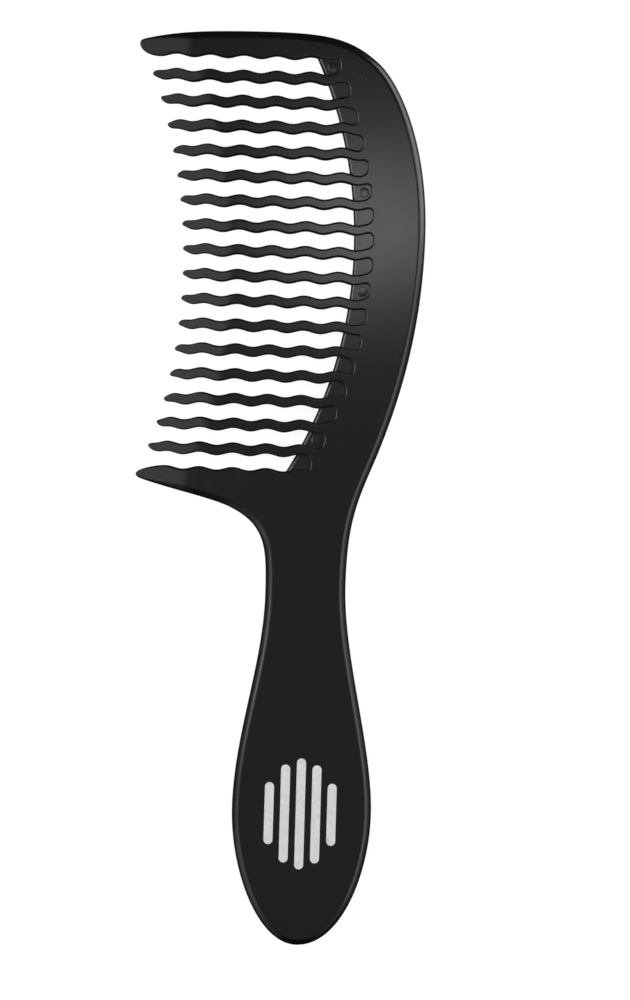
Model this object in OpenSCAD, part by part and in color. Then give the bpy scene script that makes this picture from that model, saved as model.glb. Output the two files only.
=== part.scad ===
// Wide tooth detangling comb with a paddle handle, lying on its back face.
//
// The comb is one moulding, drawn here as its members, which meet face to face: the handle, the neck,
// the curved spine, two guard teeth, the wavy teeth between them and the thin webs at their roots.
// X runs from the teeth to the spine's back, Y from the handle to the head, and Z out of the front face.
// The origin is on the back face, where the grip is widest. Lengths are in millimetres.

/* [Handle] */
// Distance from the grip's widest station to the end of the handle
butt_reach = 32.1; // [28:0.1:36]
// Half of the grip's greatest width
grip_half_w = 16.9; // [14:0.1:19]
// Distance from the grip's widest station to the waist, where the handle is narrowest
waist_y = 55; // [50:1:58]
// Half of the waist's width
waist_half_w = 9.7; // [8.5:0.1:11]

/* [Head] */
// Thickness of the handle, the neck and the spine
body_t = 5.5; // [4.5:0.1:7]
// Distance from the handle's axis to the farthest point of the spine's back
spine_reach = 26.2; // [24:0.1:28]
// Distance from the handle's axis to the tip of the upper guard
guard_reach = 44; // [43:0.5:46]
// How much shorter the lower guard is than the upper one
lower_guard_setback = 1.75; // [0.5:0.25:2.5]
// Thickness of the guards and the teeth at their tips
tip_t = 2.2; // [1.6:0.1:3]
// Length over which the guards and the teeth thin down to their tips
thinning_l = 12; // [8:0.5:14]

/* [Teeth] */
// Distance from one tooth's centreline to the next one's
tooth_pitch = 6; // [5.8:0.05:6.2]
// Width of a tooth, along the handle's axis
tooth_w = 2.55; // [2:0.05:3]
// Height of the lowest tooth's centreline above the grip's widest station
lowest_tooth_y = 87.9; // [86:0.1:92]
// Length of one wave along a tooth
wave_l = 8.1; // [6:0.1:10]
// Distance from a tooth's centreline to the crest of its wave
wave_rise = 0.37; // [0:0.01:0.6]
// Length over which a tooth narrows to its rounded tip
nose_l = 6; // [3:0.5:8]

/* [Root webs] */
// Thickness of the webs that close the gaps at the roots of the teeth
web_t = 2.7; // [1.5:0.1:3.5]
// Distance from a web's free edge to the bottom of its pocket in the spine
pocket_depth = 4.6; // [3.5:0.1:6]
// Radius of the corners at the bottom of a pocket
pocket_corner_r = 1.4; // [0.5:0.1:1.5]

/* [Printed mark] */
// Thickness of the printed ink
ink_t = 0.06; // [0.04:0.01:0.2]
// Length of the longest printed stripe
stripe_l = 27; // [15:1:36]
// Width of a printed stripe
stripe_w = 2.2; // [1.4:0.1:2.8]
// Distance from one printed stripe to the next
stripe_pitch = 3.8; // [3:0.1:4.4]

/* [Hidden] */
tooth_count = 16;
stripe_count = 5;

// Curved surfaces are drawn with this many steps in a full turn.
$fn = 180;

mid_z = body_t / 2;

// The handle leans a little: the grip's middle stands this far towards the spine's side, and the
// waist's middle as far towards the teeth's side.
grip_lean = 0.3;

// Tooth 0 is the inner edge of the upper guard, and tooth_count + 1 that of the lower guard.
function tooth_y(i) = lowest_tooth_y + (tooth_count - i) * tooth_pitch;
row_top_y = tooth_y(0);
row_bottom_y = tooth_y(tooth_count + 1);
row_mid_y = (row_top_y + row_bottom_y) / 2;

// The tips of the teeth lie on one large circle, and the free edges of the webs on another.
tip_circle = [-165, row_mid_y - 1.8];
tip_circle_r = 132.8;
mouth_circle = [-98.4, row_mid_y + 4.4];
mouth_circle_r = 107.4;

// The neck ends just below the lowest web.
neck_top_y = row_bottom_y - 3;

// A wave crest of every tooth stands at this X.
crest_x = -18.8;
steps_per_wave = 10;
wave_step = wave_l / steps_per_wave;

// Steps along each stretch of the outline, and around a small rounded end.
outline_steps = 12;
corner_steps = 6;

// Room by which a cutting shape passes what it cuts.
beyond = 10;

function two_digits(i) = str(i < 10 ? "0" : "", i);
function tooth_name(i) = str("wave_tooth_", two_digits(i));
function web_name(i) = str("root_web_", two_digits(i));

// ---- Outline ----

// An anchor is [x, y, heading, reach in, reach out]: the outline passes through the point in the
// direction of the heading, in degrees, and the reaches say how far it holds to that direction.
butt_back = [0, -butt_reach, 0, 0, 10.5];
grip_back = [grip_lean + grip_half_w, 0.3, 90, 15.2, 16.1];
waist_back = [waist_half_w - grip_lean, waist_y + 0.4, 90, 17.2, 13.7];
flare_back = [14.8, row_bottom_y + 2.1, 68, 10.3, 18];
crown_back = [spine_reach, row_mid_y + 8.1, 90, 21.9, 21.4];
corner_back = [13.7, row_top_y - 1.9, 139, 7.3, 8.8];
top_middle = [-12.8, row_top_y + 4.9, 180, 14.1, 14.5];

upper_tip_outer = [2 - guard_reach, row_top_y + 2.7, 193, 7.5, 1.2];
upper_tip = [-guard_reach, row_top_y + 1.3, 270, 0.9, 1.5];
upper_tip_inner = [5 - guard_reach, flank_y(0, -1, 5 - guard_reach), 0, 3, 0];

lower_tip_x = lower_guard_setback - guard_reach;
lower_tip_inner = [7.2 + lower_tip_x, flank_y(tooth_count + 1, 1, 7.2 + lower_tip_x), 180, 0, 2.6];
lower_tip = [lower_tip_x, row_bottom_y - 0.6, 270, 1.1, 0.7];
lower_tip_outer = [1.7 + lower_tip_x, row_bottom_y - 1.9, 342.5, 1, 7.1];

shoulder_front = [-19.4, row_bottom_y - 7.9, 335.3, 4.4, 10];
waist_front = [-waist_half_w - grip_lean, waist_y - 1.6, 270, 11.1, 17.6];
grip_front = [grip_lean - grip_half_w, 0.9, 270, 18.1, 14.8];
butt_front = [0, -butt_reach, 0, 9.7, 0];

function point_of(anchor) = [anchor[0], anchor[1]];
function leaving(a) = [a[0] + a[4] * cos(a[2]), a[1] + a[4] * sin(a[2])];
function arriving(a) = [a[0] - a[3] * cos(a[2]), a[1] - a[3] * sin(a[2])];

// A point on the cubic curve from anchor a to anchor b, with t from 0 to 1.
function curve_point(a, b, t) =
    pow(1 - t, 3) * point_of(a) +
    3 * pow(1 - t, 2) * t * leaving(a) +
    3 * (1 - t) * t * t * arriving(b) +
    pow(t, 3) * point_of(b);

// The points of a smooth curve through a list of anchors.
function smooth_curve(anchors) = concat(
    [for (i = [0:len(anchors) - 2])
        for (k = [0:outline_steps - 1]) curve_point(anchors[i], anchors[i + 1], k / outline_steps)],
    [point_of(anchors[len(anchors) - 1])]
);

function reversed(points) = [for (i = [len(points) - 1:-1:0]) points[i]];

// The comb's outline, with the gaps between the teeth filled in.
module plate_outline() {
    back = smooth_curve([butt_back, grip_back, waist_back, flare_back, crown_back, corner_back,
        top_middle, upper_tip_outer, upper_tip, upper_tip_inner]);
    front = smooth_curve([lower_tip_inner, lower_tip, lower_tip_outer, shoulder_front,
        waist_front, grip_front, butt_front]);
    polygon(concat(back, front));
}

// Everything on the teeth's side of the webs' free edges.
module mouth_disc() {
    translate(mouth_circle) circle(mouth_circle_r);
}

// A slab of the plane between two heights.
module level_band(low_y, high_y) {
    translate([-100, low_y]) square([200, high_y - low_y]);
}

// ---- Teeth ----

function wave_at(x) = wave_rise * cos(360 * (x - crest_x) / wave_l);
function flank_y(i, side, x) = tooth_y(i) + side * tooth_w / 2 + wave_at(x);

// The wave dies away along a tooth's nose and turns over just before its tip, which evens the tips
// out. This is the share of the wave at a distance s from the tip.
function wave_share(s) = 1 - 2 * pow(1 - s / nose_l, 2);

// Where a level line at height y meets the circle of the tips, and the circle of the webs' edges.
function circle_x(centre, r, y) = centre[0] + sqrt(r * r - pow(y - centre[1], 2));
function tip_x(i) = circle_x(tip_circle, tip_circle_r, tooth_y(i));
function mouth_x(y) = circle_x(mouth_circle, mouth_circle_r, y);

// Half the width of a tooth's nose at a distance from its tip.
function nose_half_w(s) = tooth_w / 2 * sqrt(1 - pow(1 - s / nose_l, 3));

// One edge of a tooth, from its tip to inside the spine. The upper edge has side 1, the lower -1.
function tooth_edge(i, side) =
    let (x0 = tip_x(i), root_x = mouth_x(tooth_y(i)) + 1)
    concat(
        [for (k = [1:corner_steps + 2])
            let (s = nose_l * (1 - cos(90 * k / (corner_steps + 2))))
            [x0 + s, tooth_y(i) + side * nose_half_w(s) + wave_share(s) * wave_at(x0 + s)]],
        [for (x = [x0 + nose_l + wave_step:wave_step:root_x]) [x, flank_y(i, side, x)]]
    );

module tooth_outline(i) {
    tip = [tip_x(i), tooth_y(i) - wave_at(tip_x(i))];
    intersection() {
        polygon(concat([tip], tooth_edge(i, 1), reversed(tooth_edge(i, -1))));
        mouth_disc();
    }
}

// The inner edge of a guard, along the flank of the tooth whose place it takes.
function guard_edge(i, side, from_x) =
    [for (x = [from_x:wave_step:mouth_x(tooth_y(i)) + 6]) [x, flank_y(i, side, x)]];

// A solid that is as thick as the body, and thins down on both faces towards a tip at the given X.
module thinned(x_of_tip) {
    full_x = x_of_tip + thinning_l;
    side_view = [
        [x_of_tip, mid_z - tip_t / 2],
        [full_x, 0],
        [full_x + 80, 0],
        [full_x + 80, body_t],
        [full_x, body_t],
        [x_of_tip, mid_z + tip_t / 2]
    ];
    intersection() {
        linear_extrude(body_t) children();
        translate([0, row_top_y + 2 * beyond, 0])
            rotate([90, 0, 0])
                linear_extrude(row_top_y) polygon(side_view);
    }
}

// ---- Webs ----

// One edge of a pocket, from the tips' side of the mouth to the pocket's bottom.
function pocket_edge(i, side) =
    let (
        mid_y = (tooth_y(i) + tooth_y(i - 1)) / 2,
        half_w = (tooth_pitch - tooth_w) / 2,
        corner_x = mouth_x(mid_y) + pocket_depth - pocket_corner_r
    )
    concat(
        [for (x = [corner_x - ceil(pocket_depth / wave_step) * wave_step:wave_step:corner_x - wave_step / 2])
            [x, mid_y + side * half_w + wave_at(x)]],
        [for (k = [0:corner_steps])
            let (
                angle = 90 * k / corner_steps,
                x = corner_x + pocket_corner_r * sin(angle),
                w = half_w - pocket_corner_r * (1 - cos(angle))
            )
            [x, mid_y + side * w + wave_at(x)]]
    );

module pocket_outline(i) {
    polygon(concat(pocket_edge(i, 1), reversed(pocket_edge(i, -1))));
}

// ---- Sub-parts ----

// Paddle handle, from its end to the waist
module handle() {
    color("#1c1d1d")
        linear_extrude(body_t)
            intersection() {
                plate_outline();
                level_band(-butt_reach - beyond, waist_y);
            }
}

// Flaring neck between the waist and the head
module neck() {
    color("#1e2020")
        linear_extrude(body_t)
            difference() {
                intersection() {
                    plate_outline();
                    level_band(waist_y, neck_top_y);
                }
                mouth_disc();
            }
}

// Curved spine with a pocket for each web
module spine() {
    color("#232525")
        linear_extrude(body_t)
            difference() {
                intersection() {
                    plate_outline();
                    level_band(neck_top_y, row_top_y + beyond);
                }
                mouth_disc();
                for (i = [1:tooth_count + 1]) pocket_outline(i);
            }
}

// Guard tooth above the row, with a wavy inner edge
module upper_guard() {
    color("#1a1b1b")
        thinned(-guard_reach)
            intersection() {
                polygon(concat(
                    smooth_curve([corner_back, top_middle, upper_tip_outer, upper_tip, upper_tip_inner]),
                    guard_edge(0, -1, upper_tip_inner[0] + wave_step)
                ));
                mouth_disc();
            }
}

// Guard tooth below the row, with a wavy inner edge
module lower_guard() {
    color("#1a1b1b")
        thinned(lower_tip_x)
            intersection() {
                polygon(concat(
                    reversed(guard_edge(tooth_count + 1, 1, lower_tip_inner[0] + wave_step)),
                    smooth_curve([lower_tip_inner, lower_tip, lower_tip_outer, shoulder_front,
                        waist_front])
                ));
                mouth_disc();
            }
}

// One wavy tooth, counted from the upper guard
module wave_tooth(i) {
    color("#2b2d2d")
        thinned(tip_x(i))
            tooth_outline(i);
}

// Thin web at the root of a gap, sunk below both faces
module root_web(i) {
    color("#333535")
        translate([0, 0, mid_z - web_t / 2])
            linear_extrude(web_t)
                difference() {
                    pocket_outline(i);
                    mouth_disc();
                }
}

// Printed lozenge of round-ended stripes on the front of the grip
module printed_stripes() {
    color("#dcdedd")
        translate([0, 0, body_t])
            linear_extrude(ink_t)
                for (k = [0:stripe_count - 1]) {
                    place = k - (stripe_count - 1) / 2;
                    length = stripe_l * cos(28 * place);
                    translate([place * stripe_pitch, 0]) round_bar(length, stripe_w);
                }
}

// Flat bar along Y with round ends, centred on the origin
module round_bar(length, width) {
    straight = length - width;
    square([width, straight], center = true);
    for (end = [-1, 1]) translate([0, end * straight / 2]) circle(width / 2, $fn = 32);
}

handle();
neck();
spine();
upper_guard();
lower_guard();
printed_stripes();
for (i = [1:tooth_count]) {
    wave_tooth(i);
}
for (i = [1:tooth_count + 1]) {
    root_web(i);
}
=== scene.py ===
"""Looks of the wide tooth comb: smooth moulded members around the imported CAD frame, ink, light and camera.

The comb lies on its back face. Lengths in this script are millimetres until mesh_object() turns them
into metres, and every piece keeps the frame's axes: X to the spine's back, Y to the head, Z up.
"""

import math

import bmesh
import bpy
import numpy as np
from mathutils import Euler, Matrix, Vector
from mathutils.geometry import delaunay_2d_cdt

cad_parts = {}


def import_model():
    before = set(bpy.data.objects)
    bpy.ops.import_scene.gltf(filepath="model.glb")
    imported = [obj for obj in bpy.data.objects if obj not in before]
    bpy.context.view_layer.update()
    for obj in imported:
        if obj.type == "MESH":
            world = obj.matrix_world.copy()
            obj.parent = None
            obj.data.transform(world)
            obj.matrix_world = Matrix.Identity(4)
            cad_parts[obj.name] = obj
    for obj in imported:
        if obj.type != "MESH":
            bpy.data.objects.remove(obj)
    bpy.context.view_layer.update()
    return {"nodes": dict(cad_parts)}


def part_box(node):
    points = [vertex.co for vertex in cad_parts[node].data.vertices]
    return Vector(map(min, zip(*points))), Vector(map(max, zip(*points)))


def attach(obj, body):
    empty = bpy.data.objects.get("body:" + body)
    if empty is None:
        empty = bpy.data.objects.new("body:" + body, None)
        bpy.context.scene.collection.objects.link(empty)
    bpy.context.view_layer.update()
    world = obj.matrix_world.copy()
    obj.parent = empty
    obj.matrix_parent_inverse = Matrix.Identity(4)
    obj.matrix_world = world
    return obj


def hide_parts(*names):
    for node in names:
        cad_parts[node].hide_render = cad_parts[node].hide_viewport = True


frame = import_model()

MM = 0.001


# ---- Driving dimensions: body and web thickness come from the frame, the rest repeat the CAD ----

def cad_corners(node):
    """Lowest and highest corners of a CAD node, in millimetres."""
    low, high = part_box(node)
    return np.array(low) / MM, np.array(high) / MM


BODY_T = cad_corners("handle")[1][2]
MID_Z = BODY_T / 2
TIP_HALF_T = 1.1
THINNING_L = 12.0
WEB_HALF_T = cad_corners("root_web_01")[1][2] - MID_Z

TOOTH_COUNT = sum(name.startswith("wave_tooth") for name in frame["nodes"])
TOOTH_PITCH = 6.0
TOOTH_W = 2.55
LOWEST_TOOTH_Y = 87.9
WAVE_L = 8.1
WAVE_RISE = 0.37
CREST_X = -18.8
NOSE_L = 6.0

POCKET_DEPTH = 4.6
POCKET_CORNER_R = 1.4


def tooth_y(i):
    """Height of a tooth's centreline. Tooth 0 is the upper guard's edge, the last one the lower guard's."""
    return LOWEST_TOOTH_Y + (TOOTH_COUNT - i) * TOOTH_PITCH


ROW_TOP_Y = tooth_y(0)
ROW_BOTTOM_Y = tooth_y(TOOTH_COUNT + 1)
ROW_MID_Y = (ROW_TOP_Y + ROW_BOTTOM_Y) / 2

TIP_CIRCLE, TIP_CIRCLE_R = np.array([-165.0, ROW_MID_Y - 1.8]), 132.8
MOUTH_CIRCLE, MOUTH_CIRCLE_R = np.array([-98.4, ROW_MID_Y + 4.4]), 107.4

BUTT_REACH = 32.1
GRIP_HALF_W = 16.9
GRIP_LEAN = 0.3
WAIST_Y = 55.0
WAIST_HALF_W = 9.7
NECK_TOP_Y = ROW_BOTTOM_Y - 3
SPINE_REACH = 26.2
UPPER_TIP_X = -44.0
LOWER_TIP_X = -42.25


# ---- Walls: how the sides round over from the mid-plane to the faces ----

def wall_profile(arcs, half_t):
    """Half of a side wall, from the mid-plane up to the face, as rows of inset in mm and height as a share.

    The wall starts upright. Each arc is its inset, the lean it ends at in degrees (90 is the face) and its
    steps. What height the arcs leave over is the upright part below them.
    """
    rows, lean = [(0.0, 0.0)], 0.0
    for run, to_lean, steps in arcs:
        radius = run / (math.cos(math.radians(lean)) - math.cos(math.radians(to_lean)))
        inset, height = rows[-1]
        for k in range(1, steps + 1):
            now = lean + (to_lean - lean) * k / steps
            over = radius * (math.cos(math.radians(lean)) - math.cos(math.radians(now)))
            rise = radius * (math.sin(math.radians(now)) - math.sin(math.radians(lean)))
            rows.append((inset + over, height + rise))
        lean = to_lean
    rows = np.array(rows)
    upright = half_t - rows[-1, 1]
    rows[:, 1] = (rows[:, 1] + upright) / half_t
    return np.vstack([[0, 0], rows])


# Each arc: its inset, the lean it ends at, its steps. Body and tooth walls blend, so their steps match.
BODY_WALL = wall_profile([(0.16, 40, 3), (0.95, 54, 3), (0.75, 90, 5)], MID_Z)
TOOTH_WALL = wall_profile([(0.19, 14, 3), (0.06, 46, 3), (0.27, 90, 5)], MID_Z)
LIP_WALL = wall_profile([(0.32, 42, 4), (0.42, 74, 4), (0.14, 90, 2)], WEB_HALF_T)


# ---- Curves ----

def smooth_curve(anchors, steps=60):
    """Points of a smooth curve through anchors of x, y, heading in degrees, reach in and reach out."""
    points = []
    t = np.linspace(0, 1, steps, endpoint=False)[:, None]
    for a, b in zip(anchors[:-1], anchors[1:]):
        start, end = np.array(a[:2]), np.array(b[:2])
        leaving = start + a[4] * np.array([math.cos(math.radians(a[2])), math.sin(math.radians(a[2]))])
        arriving = end - b[3] * np.array([math.cos(math.radians(b[2])), math.sin(math.radians(b[2]))])
        near = (1 - t) ** 3 * start + 3 * (1 - t) ** 2 * t * leaving
        points.append(near + 3 * (1 - t) * t**2 * arriving + t**3 * end)
    points.append(np.array([anchors[-1][:2]]))
    return np.concatenate(points)


def resample(points, step):
    """The same curve with even steps of about the given length, ends kept."""
    lengths = np.r_[0, np.cumsum(np.hypot(*np.diff(points, axis=0).T))]
    count = max(2, int(round(lengths[-1] / step)) + 1)
    even = np.linspace(0, lengths[-1], count)
    return np.stack([np.interp(even, lengths, points[:, k]) for k in (0, 1)], axis=1)


def cut_where(points, value, rising):
    """Two parts of a curve, before and from its first crossing of value == 0."""
    for k in range(len(points) - 1):
        a, b = value(points[k]), value(points[k + 1])
        if (a < 0 <= b) if rising else (a > 0 >= b):
            cross = points[k] + (points[k + 1] - points[k]) * (a / (a - b))
            return np.vstack([points[: k + 1], cross]), np.vstack([cross, points[k + 1 :]])
    raise ValueError("the curve doesn't cross")


def wave_at(x):
    """Rise of the teeth's wave at x."""
    return WAVE_RISE * np.cos(2 * np.pi * (x - CREST_X) / WAVE_L)


def flank_y(i, side, x):
    """Height of a tooth's flank at x. Side 1 is the upper flank and -1 the lower one."""
    return tooth_y(i) + side * TOOTH_W / 2 + wave_at(x)


def tip_x(i):
    """Where a tooth ends."""
    return TIP_CIRCLE[0] + math.sqrt(TIP_CIRCLE_R**2 - (tooth_y(i) - TIP_CIRCLE[1]) ** 2)


def mouth_x(y):
    """Where the webs' free edges lie at height y."""
    return MOUTH_CIRCLE[0] + math.sqrt(MOUTH_CIRCLE_R**2 - (y - MOUTH_CIRCLE[1]) ** 2)


def mouth_crossing(i, side):
    """Where a tooth's flank crosses the circle of the webs' free edges."""
    x = mouth_x(tooth_y(i))
    for _ in range(20):
        x = mouth_x(flank_y(i, side, x))
    return x


def outside_mouth(point):
    """Distance of a point outside the circle of the webs' free edges."""
    return np.hypot(*(point - MOUTH_CIRCLE)) - MOUTH_CIRCLE_R


FINE = 0.05
FLANK_STEP = 0.4
NOSE_STEP = 0.14
CORNER_STEP = 0.22
OUTLINE_STEP = 0.8
TIP_STEP = 0.2


def flank_curve(i, side, from_x, to_x):
    x = np.linspace(from_x, to_x, max(2, int(abs(to_x - from_x) / FINE)))
    return np.stack([x, flank_y(i, side, x)], axis=1)


def nose_curve(i):
    """The end of a tooth, from its upper edge round the tip. The wave turns over near the tip."""
    s = NOSE_L * (1 - np.cos(np.linspace(0, np.pi / 2, 160)))
    x = tip_x(i) + s
    half_w = TOOTH_W / 2 * np.sqrt(1 - (1 - s / NOSE_L) ** 3)
    middle = tooth_y(i) + (1 - 2 * (1 - s / NOSE_L) ** 2) * wave_at(x)
    upper = np.stack([x, middle + half_w], axis=1)
    lower = np.stack([x, middle - half_w], axis=1)
    return np.vstack([upper[::-1], lower[1:]])


def pocket_curve(i):
    """The wall of pocket i, from the flank above it round its bottom to the flank below it."""
    middle = (tooth_y(i) + tooth_y(i - 1)) / 2
    half_w = (TOOTH_PITCH - TOOTH_W) / 2
    corner_x = mouth_x(middle) + POCKET_DEPTH - POCKET_CORNER_R
    angle = np.linspace(0, np.pi / 2, 60)
    x = corner_x + POCKET_CORNER_R * np.sin(angle)
    w = half_w - POCKET_CORNER_R * (1 - np.cos(angle))
    upper = np.vstack([
        flank_curve(i - 1, -1, mouth_crossing(i - 1, -1), corner_x)[:-1],
        np.stack([x, middle + w + wave_at(x)], axis=1),
    ])
    lower = np.vstack([
        flank_curve(i, 1, mouth_crossing(i, 1), corner_x)[:-1],
        np.stack([x, middle - w + wave_at(x)], axis=1),
    ])
    return np.vstack([upper, lower[::-1]])


# ---- Outline: one closed curve round the whole moulding, in runs that belong to its members ----

# Each anchor: x, y, heading in degrees, reach in, reach out. The outline runs anticlockwise.
BACK_ANCHORS = [
    (0, -BUTT_REACH, 0, 0, 10.5),
    (GRIP_LEAN + GRIP_HALF_W, 0.3, 90, 15.2, 16.1),
    (WAIST_HALF_W - GRIP_LEAN, WAIST_Y + 0.4, 90, 17.2, 13.7),
    (14.8, ROW_BOTTOM_Y + 2.1, 68, 10.3, 18),
    (SPINE_REACH, ROW_MID_Y + 8.1, 90, 21.9, 21.4),
    (13.7, ROW_TOP_Y - 1.9, 139, 7.3, 8.8),
    (-12.8, ROW_TOP_Y + 4.9, 180, 14.1, 14.5),
    (UPPER_TIP_X + 2, ROW_TOP_Y + 2.7, 193, 7.5, 1.2),
]
UPPER_NOSE_ANCHORS = [
    BACK_ANCHORS[-1],
    (UPPER_TIP_X, ROW_TOP_Y + 1.3, 270, 0.9, 1.5),
    (UPPER_TIP_X + 5, flank_y(0, -1, UPPER_TIP_X + 5), 0, 3, 0),
]
LOWER_NOSE_X = LOWER_TIP_X + 7.2
LOWER_NOSE_ANCHORS = [
    (LOWER_NOSE_X, flank_y(TOOTH_COUNT + 1, 1, LOWER_NOSE_X), 180, 0, 2.6),
    (LOWER_TIP_X, ROW_BOTTOM_Y - 0.6, 270, 1.1, 0.7),
    (LOWER_TIP_X + 1.7, ROW_BOTTOM_Y - 1.9, 342.5, 1, 7.1),
]
FRONT_ANCHORS = [
    LOWER_NOSE_ANCHORS[-1],
    (-19.4, ROW_BOTTOM_Y - 7.9, 335.3, 4.4, 10),
    (-WAIST_HALF_W - GRIP_LEAN, WAIST_Y - 1.6, 270, 11.1, 17.6),
    (GRIP_LEAN - GRIP_HALF_W, 0.9, 270, 18.1, 14.8),
    (0, -BUTT_REACH, 0, 9.7, 0),
]


def tooth_name(i):
    return f"wave_tooth_{i:02d}"


def web_name(i):
    return f"root_web_{i:02d}"


def outline_runs():
    """Runs of the outline, anticlockwise from the butt, as member, points, wall kind at each end, tip X."""
    runs = []

    def add(member, points, step, wall_from, wall_to, thin_tip=None):
        runs.append((member, resample(points, step), wall_from, wall_to, thin_tip))

    handle_back, rest = cut_where(smooth_curve(BACK_ANCHORS), lambda p: p[1] - WAIST_Y, True)
    neck_back, rest = cut_where(rest, lambda p: p[1] - NECK_TOP_Y, True)
    spine_back, guard_top = cut_where(rest, outside_mouth, False)
    add("handle", handle_back, OUTLINE_STEP, 0, 0)
    add("neck", neck_back, OUTLINE_STEP, 0, 0)
    add("spine", spine_back, OUTLINE_STEP, 0, 0)

    add("upper_guard", guard_top, OUTLINE_STEP / 2, 0, 0, UPPER_TIP_X)
    add("upper_guard", smooth_curve(UPPER_NOSE_ANCHORS), TIP_STEP, 0, 1, UPPER_TIP_X)
    inner_edge = flank_curve(0, -1, UPPER_TIP_X + 5, mouth_crossing(0, -1))
    add("upper_guard", inner_edge, FLANK_STEP, 1, 1, UPPER_TIP_X)

    for i in range(1, TOOTH_COUNT + 2):
        add("spine", pocket_curve(i), CORNER_STEP, 1, 1)
        if i > TOOTH_COUNT:
            break
        full_x = tip_x(i) + NOSE_L
        add(tooth_name(i), flank_curve(i, 1, mouth_crossing(i, 1), full_x), FLANK_STEP, 1, 1, tip_x(i))
        add(tooth_name(i), nose_curve(i), NOSE_STEP, 1, 1, tip_x(i))
        add(tooth_name(i), flank_curve(i, -1, full_x, mouth_crossing(i, -1)), FLANK_STEP, 1, 1, tip_x(i))

    last = TOOTH_COUNT + 1
    guard_bottom, neck_front = cut_where(smooth_curve(FRONT_ANCHORS), outside_mouth, True)
    inner_edge = flank_curve(last, 1, mouth_crossing(last, 1), LOWER_NOSE_X)
    add("lower_guard", inner_edge, FLANK_STEP, 1, 1, LOWER_TIP_X)
    add("lower_guard", smooth_curve(LOWER_NOSE_ANCHORS), TIP_STEP, 1, 0, LOWER_TIP_X)
    add("lower_guard", guard_bottom, OUTLINE_STEP / 2, 0, 0, LOWER_TIP_X)
    neck_front, handle_front = cut_where(neck_front, lambda p: p[1] - WAIST_Y, False)
    add("neck", neck_front, OUTLINE_STEP, 0, 0)
    add("handle", handle_front, OUTLINE_STEP, 0, 0)
    return runs


def half_thickness(x, thin_tip):
    """Half the thickness at x, and its slope along x. It eases into a straight slope towards the tip."""
    if thin_tip is None:
        return MID_Z, 0.0
    s = x - thin_tip
    slope = (MID_Z - TIP_HALF_T) / THINNING_L
    ease = 1.2
    over = s - THINNING_L
    if over >= ease:
        return MID_Z, 0.0
    if over <= -ease:
        return MID_Z + slope * over, slope
    u = (over + ease) / (2 * ease)
    return MID_Z - slope * ease * (1 - u) ** 2, slope * (1 - u)


class Outline:
    """The whole outline: point, outward normal, wall kind, half thickness and member of each step."""

    def __init__(self):
        runs = outline_runs()
        points, walls, tips, self.members, self.starts = [], [], [], [], []
        for member, run, wall_from, wall_to, thin_tip in runs:
            self.starts.append(len(points))
            count = len(run) - 1
            for k in range(count):
                ease = k / count
                ease = ease * ease * (3 - 2 * ease)
                points.append(run[k])
                walls.append(wall_from + (wall_to - wall_from) * ease)
                tips.append(thin_tip)
                self.members.append(member)
        self.point = np.array(points)
        self.wall = np.array(walls)
        before = self.point - np.roll(self.point, 1, axis=0)
        after = np.roll(self.point, -1, axis=0) - self.point
        before /= np.hypot(*before.T)[:, None]
        after /= np.hypot(*after.T)[:, None]
        tangent = before + after
        tangent /= np.hypot(*tangent.T)[:, None]
        self.outward = np.stack([tangent[:, 1], -tangent[:, 0]], axis=1)
        thickness = [half_thickness(x, tip) for x, tip in zip(self.point[:, 0], tips)]
        self.half_t = np.array([t[0] for t in thickness])
        self.slope = np.array([t[1] for t in thickness])

    def end_of_member(self, start):
        """The first outline point after start that belongs to another member."""
        k = start
        while self.members[k] == self.members[start]:
            k = (k + 1) % len(self.members)
        return k


def ring_profile(outline):
    """Inset and height of every ring at every outline point, and the wall's tilt there, outwards and up."""
    blend = outline.wall[None, :, None]
    profile = BODY_WALL[:, None, :] * (1 - blend) + TOOTH_WALL[:, None, :] * blend
    shrink = (outline.half_t / MID_Z) ** (1.9 - 0.9 * outline.wall)
    inset = profile[:, :, 0] * shrink
    height = profile[:, :, 1] * outline.half_t
    run, rise = np.diff(inset, axis=0), np.diff(height, axis=0)
    size = np.hypot(run, rise)
    run, rise = run / size, rise / size
    out, up = np.ones_like(inset), np.zeros_like(inset)
    out[1:-1], up[1:-1] = rise[:-1] + rise[1:], run[:-1] + run[1:]
    out[-1], up[-1] = 0.0, 1.0
    return inset, height, out, up


# ---- Face: the flat inside of the outline, cut along the members' borders ----

BORDER_STEP = 1.5
GRID_STEP = 1.0
GRID_CLEARANCE = 0.45


def polar_path(a, b, step):
    """Points strictly between a and b, swinging round the centre of the mouth circle."""
    ra, rb = a - MOUTH_CIRCLE, b - MOUTH_CIRCLE
    count = max(1, int(np.hypot(*(b - a)) / step))
    t = np.arange(1, count)[:, None] / count
    radius = np.hypot(*ra) * (1 - t) + np.hypot(*rb) * t
    angle = math.atan2(ra[1], ra[0]) * (1 - t) + math.atan2(rb[1], rb[0]) * t
    return MOUTH_CIRCLE + radius * np.hstack([np.cos(angle), np.sin(angle)])


def inside_polygon(points, polygon):
    """Which points lie inside a closed polygon, by counting the edges to their right."""
    inside = np.zeros(len(points), bool)
    a, b = polygon, np.roll(polygon, -1, axis=0)
    for (ax, ay), (bx, by) in zip(a, b):
        if ay == by:
            continue
        hit = (ay > points[:, 1]) != (by > points[:, 1])
        cross_x = ax + (points[:, 1] - ay) * (bx - ax) / (by - ay)
        inside ^= hit & (points[:, 0] < cross_x)
    return inside


def triangle_edges(tri):
    """The three edges of a triangle, each as an unordered pair of points."""
    return [frozenset((tri[k], tri[(k + 1) % 3])) for k in range(3)]


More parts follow.
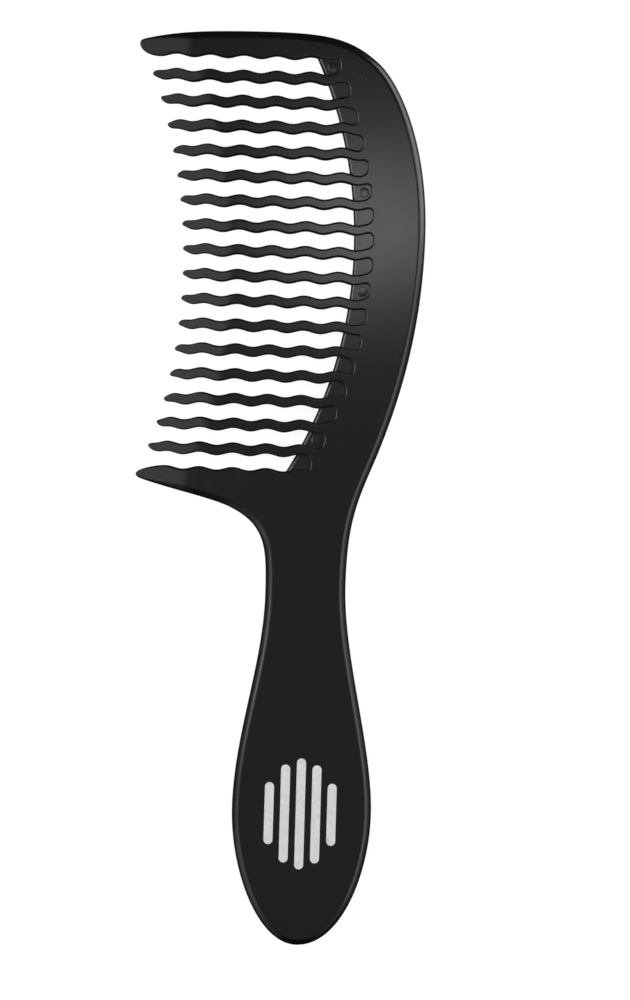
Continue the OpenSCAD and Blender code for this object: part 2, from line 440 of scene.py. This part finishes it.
class Face:
    """Triangles over the area inside the last ring, each with its member."""

    def __init__(self, outline, rim):
        self.count = len(rim)
        self.chains, self.extra = [], []
        self.add_borders(outline, rim)
        borders = [edge for chain in self.chains for edge in zip(chain[:-1], chain[1:])]
        self.points = np.vstack([rim, self.extra, self.guard_grid(rim)])
        corners = [Vector(p) for p in self.points]
        found = delaunay_2d_cdt(corners, borders, [list(range(self.count))], 1, 1e-6)
        verts, _, faces, origin, _, _ = found
        assert len(verts) == len(corners), "the face needs every point once"
        place = [o[0] for o in origin]
        self.triangles = [[place[v] for v in f] for f in faces]
        edges = [(k, (k + 1) % self.count) for k in range(self.count)]
        self.members = self.flood(edges, borders, outline.members)

    def add_points(self, path):
        """Numbers of new face points along a path."""
        first = self.count + len(self.extra)
        self.extra.extend(path)
        return list(range(first, first + len(path)))

    def add_border(self, rim, start, end, swings=False):
        """A border between two members. It is straight, or swings round the centre of the mouth circle."""
        places = [rim[v] if v < self.count else self.extra[v - self.count] for v in (start, end)]
        path = polar_path(*places, BORDER_STEP) if swings else []
        self.chains.append([start, *self.add_points(path), end])

    def add_borders(self, outline, rim):
        """The borders between the members that meet on the face."""
        starts = {}
        for start in outline.starts:
            starts.setdefault(outline.members[start], []).append(start)
        neck_back, neck_front = starts["neck"]
        self.add_border(rim, neck_back, starts["handle"][1])
        meeting = self.add_points([np.array([mouth_x(NECK_TOP_Y), NECK_TOP_Y])])[0]
        self.add_border(rim, starts["spine"][0], meeting)
        self.add_border(rim, neck_front, meeting, swings=True)
        self.add_border(rim, meeting, starts["lower_guard"][0], swings=True)
        guard_start = starts["upper_guard"][0]
        self.add_border(rim, guard_start, outline.end_of_member(guard_start), swings=True)
        for i in range(1, TOOTH_COUNT + 1):
            tooth_start = starts[tooth_name(i)][0]
            self.add_border(rim, tooth_start, outline.end_of_member(tooth_start))

    def guard_grid(self, rim):
        """Points inside the two guards, so that their thinning faces bend evenly."""
        boxes = (
            (UPPER_TIP_X + 2, -4, ROW_TOP_Y - 1.5, ROW_TOP_Y + 4),
            (LOWER_TIP_X + 3, -24, ROW_BOTTOM_Y - 7, ROW_BOTTOM_Y + 0.6),
        )
        kept = []
        for x0, x1, y0, y1 in boxes:
            x, y = np.meshgrid(np.arange(x0, x1, GRID_STEP), np.arange(y0, y1, GRID_STEP))
            grid = np.stack([x.ravel(), y.ravel()], axis=1)
            grid = grid[inside_polygon(grid, rim)]
            near = np.min(np.hypot(*(grid[:, None] - rim[None]).transpose(2, 0, 1)), axis=1)
            kept.append(grid[near > GRID_CLEARANCE])
        return np.vstack(kept)

    def flood(self, ring_edges, borders, ring_members):
        """Gives each triangle the member of the outline steps that its region touches."""
        walls = {frozenset(e) for e in ring_edges} | {frozenset(e) for e in borders}
        by_edge = {}
        for t, tri in enumerate(self.triangles):
            for edge in triangle_edges(tri):
                by_edge.setdefault(edge, []).append(t)
        members = [None] * len(self.triangles)
        for (a, b), member in zip(ring_edges, ring_members):
            stack = [t for t in by_edge.get(frozenset((a, b)), []) if members[t] is None]
            while stack:
                t = stack.pop()
                members[t] = member
                for edge in triangle_edges(self.triangles[t]):
                    if edge not in walls:
                        stack.extend(other for other in by_edge[edge] if members[other] is None)
        return members


# ---- Meshes ----

def mesh_object(name, points_mm, faces, normals, cap_faces=()):
    """A smooth object from points in millimetres. Points keep the given normals except on the cap faces."""
    mesh = bpy.data.meshes.new(name)
    mesh.from_pydata([tuple(p * MM) for p in points_mm], [], faces)
    mesh.polygons.foreach_set("use_smooth", [True] * len(mesh.polygons))
    caps = set(cap_faces)
    loop_normals = []
    for polygon in mesh.polygons:
        if polygon.index in caps:
            flat = tuple(polygon.normal)
            loop_normals.extend([flat] * polygon.loop_total)
        else:
            loop_normals.extend(tuple(normals[v]) for v in polygon.vertices)
    mesh.normals_split_custom_set(loop_normals)
    mesh.update()
    piece = bpy.data.objects.new(name, mesh)
    bpy.context.scene.collection.objects.link(piece)
    return piece


def closed_faces(points, faces, caps):
    """The faces of an open shell and the caps that fit its open edges, cut into triangles.

    Returns all faces and the indices of the new ones.
    """
    work = bmesh.new()
    verts = [work.verts.new(tuple(p)) for p in points]
    for face in faces:
        work.faces.new([verts[v] for v in face])
    new = []
    for cap in caps:
        loop = [verts[v] for v in cap]
        shared = next(e for e in loop[0].link_edges if e.other_vert(loop[0]) is loop[1])
        if shared.link_loops[0].vert is loop[0]:
            loop.reverse()
        new.append(work.faces.new(loop))
    if new:
        bmesh.ops.triangulate(work, faces=new, quad_method="BEAUTY", ngon_method="EAR_CLIP")
    work.verts.index_update()
    closed = [[v.index for v in f.verts] for f in work.faces]
    open_edges = sum(1 for e in work.edges if not e.is_manifold)
    work.free()
    assert open_edges == 0, f"{open_edges} open edges"
    return closed, list(range(len(faces), len(closed)))


def unit_rows(vectors):
    """The vectors scaled to length 1."""
    return vectors / np.linalg.norm(vectors, axis=-1, keepdims=True)


def used_only(faces):
    """The points that the faces use, and the new number of each."""
    used = sorted({v for face in faces for v in face})
    return used, {v: k for k, v in enumerate(used)}


class Skin:
    """A closed skin, the same above and below mid_z, made from its upper half.

    The upper half starts with rings of count points, from the mid-plane up to the face. Points
    inside the face follow.
    """

    def __init__(self, top, normals, count, levels, mid_z):
        flip = np.array([1, 1, -1])
        self.count, self.levels = count, levels
        self.shift = (levels - 1) * count
        self.under_of = np.arange(len(top)) + len(top)
        self.under_of[:count] = np.arange(count)
        self.points = np.vstack([top, top * flip + np.array([0, 0, 2 * mid_z])])
        self.normals = np.vstack([normals, normals * flip])

    def wall_faces(self, k):
        """The wall over the outline step that starts at k, above and below the mid-plane."""
        after = (k + 1) % self.count
        faces = []
        for level in range(self.levels - 1):
            a, b = level * self.count + k, level * self.count + after
            c, d = a + self.count, b + self.count
            faces.append([a, b, d, c])
            faces.append([self.under_of[v] for v in (b, a, c, d)])
        return faces

    def face_pair(self, triangle):
        """A triangle of the face and its mirror image. Its points count from the last ring on."""
        upper = [v + self.shift for v in triangle]
        return [upper, [self.under_of[v] for v in reversed(upper)]]

    def wall_down(self, v):
        """Points of the wall from just under face point v round to the lower face, if v is on the rim."""
        if v >= self.count:
            return []
        down = [level * self.count + v for level in range(self.levels - 2, -1, -1)]
        return down + [self.under_of[w] for w in reversed(down[:-1])]

    def cap_loop(self, chain):
        """The closed loop of a cut along a chain of face points, over the top and back below."""
        upper = [v + self.shift for v in chain]
        lower = [self.under_of[v] for v in reversed(upper)]
        return upper + self.wall_down(chain[-1]) + lower + self.wall_down(chain[0])[::-1]


def upward_normals(slopes):
    """Normals of a face that climbs along X with the given slopes."""
    return unit_rows(np.stack([-slopes, np.zeros(len(slopes)), np.ones(len(slopes))], axis=1))


def moulding_skin(outline, face, rings, profile):
    """The skin of the whole moulding: its walls round the outline and both its faces."""
    _, height, out, up = profile
    count, levels = len(outline.point), len(rings)
    extra = face.points[count:]
    thickness = np.array([half_thickness(x, guard_tip(x, y)) for x, y in extra])
    side = np.hstack([outline.outward, np.zeros((count, 1))])
    ring_normals = out[:, :, None] * side[None] + up[:, :, None] * upward_normals(outline.slope)[None]
    top = np.vstack([
        np.concatenate([rings, MID_Z + height[:, :, None]], axis=2).reshape(-1, 3),
        np.column_stack([extra, MID_Z + thickness[:, 0]]),
    ])
    normals = np.vstack([unit_rows(ring_normals).reshape(-1, 3), upward_normals(thickness[:, 1])])
    return Skin(top, normals, count, levels, MID_Z)


def member_piece(member, faces, skin, cuts):
    """One member of the moulding, its shell closed by the cuts along its border."""
    used, place = used_only(faces)
    local = [[place[v] for v in face] for face in faces]
    sides = {frozenset((face[k], face[k - 1])) for face in faces for k in range(len(face))}
    own = [[place[v] for v in cut] for cut in cuts if frozenset(cut[:2]) in sides]
    closed, caps = closed_faces(skin.points[used], local, own)
    return mesh_object("moulded_" + member, skin.points[used], closed, skin.normals[used], caps)


def moulding_pieces():
    """One piece for each member, cut from one smooth skin so that their faces run on."""
    outline = Outline()
    profile = ring_profile(outline)
    rings = outline.point[None] - outline.outward[None] * profile[0][:, :, None]
    face = Face(outline, rings[-1])
    skin = moulding_skin(outline, face, rings, profile)
    faces = {}
    for k, member in enumerate(outline.members):
        faces.setdefault(member, []).extend(skin.wall_faces(k))
    for triangle, member in zip(face.triangles, face.members):
        faces[member].extend(skin.face_pair(triangle))
    cuts = [skin.cap_loop(chain) for chain in face.chains]
    return {member: member_piece(member, own, skin, cuts) for member, own in faces.items()}


def guard_tip(x, y):
    """The tip X that the face thins down towards at a point, or None outside the guards."""
    if np.hypot(x - MOUTH_CIRCLE[0], y - MOUTH_CIRCLE[1]) > MOUTH_CIRCLE_R:
        return None
    return UPPER_TIP_X if y > ROW_MID_Y else LOWER_TIP_X


# ---- Webs: thin plates sunk into the pockets, some with a round pin mark ----

def plate_piece(name, rings, ring_normals, half_t, mid_z, pin=None):
    """A closed plate from rings of points between the mid-plane and the face.

    A ring holds a point for each step of the outline. Its height is a share of half_t. pin is the
    centre of a low round pin mark on both faces.
    """
    count = len(rings[0][0])
    extra, rises, tilts = pin_points(pin)
    corners = [Vector(p) for p in np.vstack([rings[-1][0], extra])]
    found = delaunay_2d_cdt(corners, [], [list(range(count))], 1, 1e-6)
    place = [origin[0] for origin in found[3]]
    top = [np.column_stack([ring, np.full(count, mid_z + half_t * rise)]) for ring, rise in rings]
    top.append(np.column_stack([extra, mid_z + half_t + rises]))
    face_normals = unit_rows(np.column_stack([tilts, np.ones(len(extra))]))
    normals = np.vstack([ring_normals.reshape(-1, 3), face_normals])
    skin = Skin(np.vstack(top), normals, count, len(rings), mid_z)
    faces = [wall for k in range(count) for wall in skin.wall_faces(k)]
    for triangle in found[2]:
        faces.extend(skin.face_pair([place[v] for v in triangle]))
    used, number = used_only(faces)
    faces = [[number[v] for v in face] for face in faces]
    return mesh_object(name, skin.points[used], faces, skin.normals[used])


PIN_R = 1.25
PIN_SETBACK = 2.9
PIN_RISE = 0.12
PIN_RIM = 0.2
PIN_DOME = 0.4
PIN_RINGS = 5


def pin_rise(r):
    """Rise of a pin mark at distance r from its centre, and the slope there.

    It is a low dome with a rounded rim. The dome holds PIN_DOME of the rise and the rim the rest.
    """
    dome_r = PIN_R - PIN_RIM
    if r <= dome_r:
        share = r / dome_r
        return PIN_RISE * (1 - PIN_DOME * share**2), -2 * PIN_DOME * PIN_RISE * share / dome_r
    share = (r - dome_r) / PIN_RIM
    step = (1 - PIN_DOME) * PIN_RISE
    return step * (1 - share**2 * (3 - 2 * share)), -step * 6 * share * (1 - share) / PIN_RIM


def pin_points(centre):
    """Points of a pin mark, their rises and the tilts of the surface. There are none without a centre."""
    if centre is None:
        return np.empty((0, 2)), np.empty(0), np.empty((0, 2))
    points, rises, tilts = [centre], [PIN_RISE], [np.zeros(2)]
    dome_r = PIN_R - PIN_RIM
    shares = [k / PIN_RINGS for k in range(1, PIN_RINGS + 1)]
    for r in [dome_r * share for share in shares] + [dome_r + PIN_RIM * share for share in shares]:
        rise, slope = pin_rise(r)
        steps = 40 if r > dome_r / 2 else 20
        for k in range(steps):
            angle = 2 * math.pi * k / steps
            out = np.array([math.cos(angle), math.sin(angle)])
            points.append(centre + out * r)
            rises.append(rise)
            tilts.append(-out * slope)
    return np.array(points), np.array(rises), np.array(tilts)


def pin_centre(i):
    """Centre of the pin mark on web i, or None if it has none."""
    if i not in MARKED_WEBS:
        return None
    middle = (tooth_y(i) + tooth_y(i - 1)) / 2
    x = mouth_x(middle) + PIN_SETBACK
    return np.array([x, middle + wave_at(x)])


WEB_EMBED = 0.16
WEB_SLIDE_L = 3.0
WEB_EDGE_POINTS = 17
MARKED_WEBS = (1, 6, 10, 16)


def web_outline(i):
    """Outline of web i, its outward normals, and the tangents of its part inside the pocket's wall.

    It runs a little inside the pocket's wall, from the tooth below to the one above, and back
    along the free edge.
    """
    wall = resample(pocket_curve(i), CORNER_STEP)[::-1]
    tangent = unit_rows(np.gradient(wall, axis=0))
    wall_outward = np.stack([tangent[:, 1], -tangent[:, 0]], axis=1)
    wall = wall + wall_outward * WEB_EMBED
    start, end = wall[-1] - MOUTH_CIRCLE, wall[0] - MOUTH_CIRCLE
    angle = np.linspace(math.atan2(start[1], start[0]), math.atan2(end[1], end[0]), WEB_EDGE_POINTS)
    spoke = np.stack([np.cos(angle), np.sin(angle)], axis=1)
    points = np.vstack([wall[:-1], MOUTH_CIRCLE + MOUTH_CIRCLE_R * spoke[:-1]])
    outward = np.vstack([wall_outward[:-1], -spoke[:-1]])
    outward[0] = -spoke[-1]
    return points, outward, tangent[:-1]


def lip_slides(points, outward, tangent, lip):
    """Where each outline point goes for each millimetre of inset at the free edge.

    The free edge moves along the teeth's wave, and the wall's points near its ends follow it.
    """
    first = len(tangent)
    slides = np.zeros(points.shape)
    around_x = points[lip, 0] + np.array([[-0.1], [0], [0.1]])
    slope = np.gradient(wave_at(around_x), 0.1, axis=0)[1]
    along = np.stack([np.ones(len(lip)), slope], axis=1)
    slides[lip] = along / -(along * outward[lip]).sum(axis=1)[:, None]
    from_start = np.arange(first) * CORNER_STEP
    from_ends = np.array([from_start, from_start[::-1] + CORNER_STEP])
    nearness = np.clip(1 - from_ends / WEB_SLIDE_L, 0, 1)
    reach = np.hypot(*slides[[0, first]].T)
    pull = nearness[0] * reach[0] - nearness[1] * reach[1]
    slides[1:first] = (tangent * pull[:, None])[1:]
    return slides


def web_piece(i):
    """One sunken web. Its sides sit inside the pocket's wall and its free edge is a rounded lip."""
    points, outward, tangent = web_outline(i)
    count, last = len(points), len(LIP_WALL) - 1
    lip = np.r_[0, np.arange(len(tangent), count)]
    slides = lip_slides(points, outward, tangent, lip)
    rings, normals = [], []
    for level, (run, rise) in enumerate(LIP_WALL):
        rings.append((points + slides * run, rise))
        before, after = LIP_WALL[max(level - 1, 0)], LIP_WALL[min(level + 1, last)]
        run_step, rise_step = after[0] - before[0], (after[1] - before[1]) * WEB_HALF_T
        size = math.hypot(run_step, rise_step)
        out, up = np.ones(count), np.zeros(count)
        out[lip], up[lip] = rise_step / size, run_step / size
        if level == last:
            out[:], up[:] = 0.0, 1.0
        normals.append(np.column_stack([outward * out[:, None], up]))
    name = "moulded_" + web_name(i)
    return plate_piece(name, rings, np.array(normals), WEB_HALF_T, MID_Z, pin_centre(i))


# ---- Ink ----

STRIPE_COUNT = 5
STRIPE_L = 27.0
STRIPE_W = 2.2
STRIPE_PITCH = 3.8
STRIPE_TAPER = 28
STRIPE_END_STEPS = 24
INK_T = 0.06
INK_RIM = 0.12
INK_RIM_STEPS = 4


def stripe_points(place):
    """Outline points and outward normals of one round-ended stripe, at a place from the middle."""
    length = STRIPE_L * math.cos(math.radians(STRIPE_TAPER * place))
    r = STRIPE_W / 2
    straight = length / 2 - r
    points, normals = [], []
    for side in (1, -1):
        for k in range(STRIPE_END_STEPS + 1):
            a = math.pi * k / STRIPE_END_STEPS + (0 if side > 0 else math.pi)
            normals.append((math.cos(a), math.sin(a)))
            points.append((place * STRIPE_PITCH + r * math.cos(a), side * straight + r * math.sin(a)))
    return np.array(points), np.array(normals)


def ink_piece():
    """The printed stripes, joined in one object: each a thin film with a softened rim."""
    work = bmesh.new()
    for stripe in range(STRIPE_COUNT):
        outline, normals = stripe_points(stripe - (STRIPE_COUNT - 1) / 2)
        rings = []
        for k in range(INK_RIM_STEPS + 1):
            a = math.pi / 2 * k / INK_RIM_STEPS
            inset, z = INK_RIM * (1 - math.cos(a)), BODY_T + INK_T * math.sin(a)
            ring = outline - normals * inset
            rings.append([work.verts.new((x * MM, y * MM, z * MM)) for x, y in ring])
        count = len(outline)
        for low, high in zip(rings[:-1], rings[1:]):
            for k in range(count):
                after = (k + 1) % count
                work.faces.new([low[k], low[after], high[after], high[k]])
        work.faces.new(rings[-1])
        work.faces.new(list(reversed(rings[0])))
    for face in work.faces:
        face.smooth = True
    mesh = bpy.data.meshes.new("ink_stripes")
    bmesh.ops.triangulate(work, faces=[f for f in work.faces if len(f.verts) > 4])
    work.to_mesh(mesh)
    work.free()
    piece = bpy.data.objects.new("ink_stripes", mesh)
    bpy.context.scene.collection.objects.link(piece)
    return piece


# ---- Materials ----

class Nodes:
    """Short calls for building a node material."""

    def __init__(self, name):
        self.material = bpy.data.materials.new(name)
        self.material.use_nodes = True
        self.tree = self.material.node_tree
        self.shader = self.tree.nodes["Principled BSDF"]
        self.place = self.tree.nodes.new("ShaderNodeTexCoord").outputs["Object"]

    def add(self, kind, **values):
        """A new node with its settings."""
        node = self.tree.nodes.new(kind)
        for key, value in values.items():
            setattr(node, key, value)
        return node

    def link(self, source, target):
        """A wire from an output to an input."""
        self.tree.links.new(source, target)

    def stretched(self, scale, turn=0.0):
        """Object coordinates in millimetres, scaled along each axis and turned about Z in degrees."""
        node = self.add("ShaderNodeMapping")
        node.inputs["Scale"].default_value = [s / MM for s in scale]
        node.inputs["Rotation"].default_value = (0, 0, math.radians(turn))
        self.link(self.place, node.inputs["Vector"])
        return node.outputs["Vector"]

    def noise(self, scale, detail=2.0, rough=0.5, turn=0.0):
        """Noise with the given features per millimetre along each axis."""
        node = self.add("ShaderNodeTexNoise")
        node.inputs["Scale"].default_value = 1.0
        node.inputs["Detail"].default_value = detail
        node.inputs["Roughness"].default_value = rough
        scale = scale if isinstance(scale, tuple) else (scale,) * 3
        self.link(self.stretched(scale, turn), node.inputs["Vector"])
        return node.outputs["Fac"]

    def remap(self, value, low, high, to_low, to_high):
        """The value, moved from one range to another and held within it."""
        node = self.add("ShaderNodeMapRange")
        for key, number in (("From Min", low), ("From Max", high), ("To Min", to_low), ("To Max", to_high)):
            node.inputs[key].default_value = number
        self.link(value, node.inputs["Value"])
        return node.outputs["Result"]

    def maths(self, operation, a, b):
        """A sum of two wires or numbers, by the operation's name."""
        node = self.add("ShaderNodeMath", operation=operation)
        for socket, value in zip(node.inputs, (a, b)):
            if isinstance(value, (int, float)):
                socket.default_value = value
            else:
                self.link(value, socket)
        return node.outputs["Value"]

    def mix_colour(self, factor, a, b):
        """Colour a, going over to b with the factor."""
        node = self.add("ShaderNodeMix", data_type="RGBA")
        self.link(factor, node.inputs["Factor"])
        node.inputs["A"].default_value = (*a, 1)
        node.inputs["B"].default_value = (*b, 1)
        return node.outputs["Result"]

    def bump(self, height, depth_mm, after=None):
        """Bump of the given depth in millimetres. after is the bump that it adds to."""
        node = self.add("ShaderNodeBump")
        node.inputs["Strength"].default_value = 1.0
        node.inputs["Distance"].default_value = depth_mm * MM
        self.link(height, node.inputs["Height"])
        if after is not None:
            self.link(after, node.inputs["Normal"])
        return node.outputs["Normal"]


# Painted light: the webs get a copy of the same plastic with its base colour this many times paler. It
# stands in for the light that falls on their sunken floors.
WEB_PAINTED_LIGHT_GAIN = 2.6


def moulded_plastic(name, painted_light_gain):
    """Satin black plastic: spark-eroded grain, a slow unevenness in the gloss and a few hairline scuffs."""
    n = Nodes(name)
    grain = n.noise(4.2, detail=3, rough=0.6)
    cloud = n.noise(0.035, detail=3)
    speckle = n.noise(1.1, detail=2)
    scuff_a = n.remap(n.noise((0.05, 3.2, 1), detail=1, turn=24), 0.68, 0.74, 0, 1)
    scuff_b = n.remap(n.noise((2.6, 0.06, 1), detail=1, turn=-17), 0.69, 0.75, 0, 1)
    scuffs = n.maths("MULTIPLY", n.maths("MAXIMUM", scuff_a, scuff_b), n.remap(cloud, 0.45, 0.65, 0, 1))
    black, grey = np.array([0.0032, 0.0037, 0.0037]), np.array([0.0050, 0.0056, 0.0056])
    # Painted light where the gain is above 1: the base colour is made paler to stand in for light, not for a
    # different plastic.
    tint = n.mix_colour(speckle, tuple(black * painted_light_gain), tuple(grey * painted_light_gain))
    n.link(tint, n.shader.inputs["Base Color"])
    gloss = n.remap(cloud, 0.3, 0.7, 0.225, 0.255)
    gloss = n.maths("ADD", gloss, n.remap(speckle, 0.3, 0.7, -0.008, 0.008))
    gloss = n.maths("ADD", gloss, n.maths("MULTIPLY", scuffs, 0.03))
    n.link(gloss, n.shader.inputs["Roughness"])
    n.shader.inputs["IOR"].default_value = 1.49
    sway = n.bump(n.noise(0.05, detail=1), 0.06)
    n.link(n.bump(grain, 0.0035, after=sway), n.shader.inputs["Normal"])
    return n.material


def printed_ink():
    """Pale matt ink, a little uneven where it lies thin on the grain."""
    n = Nodes("printed_ink")
    grain = n.noise(4.2, detail=3, rough=0.6)
    cover = n.noise(0.9, detail=3)
    tint = n.mix_colour(n.remap(cover, 0.35, 0.65, 0, 1), (0.76, 0.77, 0.77), (0.84, 0.85, 0.85))
    n.link(tint, n.shader.inputs["Base Color"])
    n.link(n.remap(cover, 0.3, 0.7, 0.52, 0.62), n.shader.inputs["Roughness"])
    n.shader.inputs["IOR"].default_value = 1.47
    n.link(n.bump(grain, 0.008), n.shader.inputs["Normal"])
    return n.material


# ---- Studio ----

COMB_MIDDLE = np.array([1.4, 75.7, MID_Z])
FLOOR_R = 6000.0
FLOOR_GLOW = 0.92
FLOOR_SHADE = 0.2


def glow_material(name, colour, glow, shade):
    """Plain matt paper that also glows a little, so that it stays pale under a soft light."""
    material = bpy.data.materials.new(name)
    material.use_nodes = True
    shader = material.node_tree.nodes["Principled BSDF"]
    shader.inputs["Base Color"].default_value = (*[c * shade for c in colour], 1)
    shader.inputs["Roughness"].default_value = 1.0
    shader.inputs["Specular IOR Level"].default_value = 0.0
    shader.inputs["Emission Color"].default_value = (*colour, 1)
    shader.inputs["Emission Strength"].default_value = glow
    return material


def floor():
    """A wide pale disc under the comb."""
    work = bmesh.new()
    bmesh.ops.create_circle(work, cap_ends=True, radius=FLOOR_R * MM, segments=96)
    mesh = bpy.data.meshes.new("studio_floor")
    work.to_mesh(mesh)
    work.free()
    disc = bpy.data.objects.new("studio_floor", mesh)
    disc.location = (0, 0, -0.02 * MM)
    disc.data.materials.append(glow_material("studio_paper", (1, 1, 1), FLOOR_GLOW, FLOOR_SHADE))
    bpy.context.scene.collection.objects.link(disc)
    disc.visible_glossy = False
    disc.visible_diffuse = False


def softbox(name, centre_mm, aim_mm, size_mm, radiance, colour):
    """A rectangular area light with a given radiance, aimed at a point."""
    data = bpy.data.lights.new(name, "AREA")
    data.shape = "RECTANGLE"
    data.size, data.size_y = size_mm[0] * MM, size_mm[1] * MM
    data.energy = radiance * math.pi * data.size * data.size_y
    data.color = colour
    light = bpy.data.objects.new(name, data)
    centre, aim = Vector(centre_mm) * MM, Vector(aim_mm) * MM
    light.location = centre
    light.rotation_euler = (aim - centre).to_track_quat("-Z", "Y").to_euler()
    light.visible_camera = False
    bpy.context.scene.collection.objects.link(light)


def around(azimuth, elevation, distance, aim=COMB_MIDDLE):
    """A place at a distance from the aim."""
    a, e = math.radians(azimuth), math.radians(elevation)
    return aim + distance * np.array([math.cos(a) * math.cos(e), math.sin(a) * math.cos(e), math.sin(e)])


def world(camera_grey, light_grey):
    """A plain surround: pale to the camera, dimmer as a light."""
    scene_world = bpy.data.worlds.new("studio")
    bpy.context.scene.world = scene_world
    scene_world.use_nodes = True
    tree = scene_world.node_tree
    background = tree.nodes["Background"]
    path = tree.nodes.new("ShaderNodeLightPath")
    mix = tree.nodes.new("ShaderNodeMapRange")
    mix.inputs["To Min"].default_value = light_grey
    mix.inputs["To Max"].default_value = camera_grey
    tree.links.new(path.outputs["Is Camera Ray"], mix.inputs["Value"])
    tree.links.new(mix.outputs["Result"], background.inputs["Strength"])
    background.inputs["Color"].default_value = (1, 1, 1, 1)


WORLD_LIGHT = 0.015
LENS = 150.0
SENSOR = 36.0
FRAME_H = 242.4
TURN = 1.67
LEAN = 2.0
AIM_UP = 0.42


def camera():
    """A long lens above the comb's face, turned and leaned a little."""
    data = bpy.data.cameras.new("photo_camera")
    data.sensor_width = SENSOR
    data.lens = LENS
    distance = FRAME_H * LENS / SENSOR
    data.clip_start, data.clip_end = 0.01, 50
    cam = bpy.data.objects.new("photo_camera", data)
    turn = Euler((math.radians(-LEAN), 0, math.radians(TURN)))
    aim = Vector(COMB_MIDDLE + [0, AIM_UP, 0])
    cam.location = (aim + turn.to_matrix() @ Vector((0, 0, distance))) * MM
    cam.rotation_euler = turn
    bpy.context.scene.collection.objects.link(cam)
    bpy.context.scene.camera = cam


# ---- Lights. Azimuth 0 is +X and 90 is +Y ----

HEAD = np.array([0, ROW_MID_Y, MID_Z])
GLOW = np.array([16, 149.8, MID_Z])
GLOW_TAIL = np.array([10, 173, MID_Z])
COOL = (0.95, 1.0, 0.99)
WHITE = (1.0, 1.0, 1.0)
# Name, place, aim, width and height, radiance, colour.
LIGHTS = (
    ("highlight", around(-78, 89, 150, GLOW), GLOW, (44, 33), 3.7, COOL),
    ("glow_tail", around(-78, 89, 150, GLOW_TAIL), GLOW_TAIL, (50, 36), 0.38, COOL),
    ("overhead", COMB_MIDDLE + [0, -440, 1300], COMB_MIDDLE, (1500, 1300), 0.26, COOL),
    ("thin_tips", around(180, 70, 900, HEAD), HEAD, (240, 260), 1.2, WHITE),
    ("right_edge", around(-5, 36, 900), COMB_MIDDLE, (900, 700), 2.0, WHITE),
    ("right_wall", around(34, 8, 450), COMB_MIDDLE + [0, 60, 0], (420, 160), 4.2, WHITE),
    ("left_edge", around(196, 36, 900), COMB_MIDDLE, (800, 700), 1.15, WHITE),
    ("butt_wall", around(225, 8, 500), COMB_MIDDLE + [0, -90, 0], (420, 160), 0.6, WHITE),
    ("right_low", around(-8, 6, 900), COMB_MIDDLE, (1000, 260), 0.35, WHITE),
    ("left_low", around(192, 6, 900), COMB_MIDDLE, (1000, 260), 0.28, WHITE),
    ("left_head", around(170, 36, 380, HEAD), HEAD, (260, 220), 4.5, WHITE),
    ("far_left_fill", around(138, 22, 1100), COMB_MIDDLE, (700, 400), 0.9, WHITE),
    ("near_right_fill", around(-48, 16, 1100), COMB_MIDDLE, (700, 400), 0.6, WHITE),
)


# ---- Build ----

bpy.context.scene.view_settings.view_transform = "Standard"

plastic = moulded_plastic("moulded_plastic", 1)
# The webs' plastic is a paler copy of the same plastic: painted light on the sunken web floors.
web_plastic_painted_lighter = moulded_plastic("moulded_plastic_webs_painted_lighter", WEB_PAINTED_LIGHT_GAIN)
pieces = moulding_pieces()
for i in range(1, TOOTH_COUNT + 2):
    pieces[web_name(i)] = web_piece(i)

for node, piece in pieces.items():
    piece.data.materials.append(web_plastic_painted_lighter if node.startswith("root_web") else plastic)
    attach(piece, "root")
    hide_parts(node)

ink = ink_piece()
ink.data.materials.append(printed_ink())
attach(ink, "root")
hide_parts("printed_stripes")

floor()
world(FLOOR_GLOW, WORLD_LIGHT)
camera()

for light in LIGHTS:
    softbox(*light)
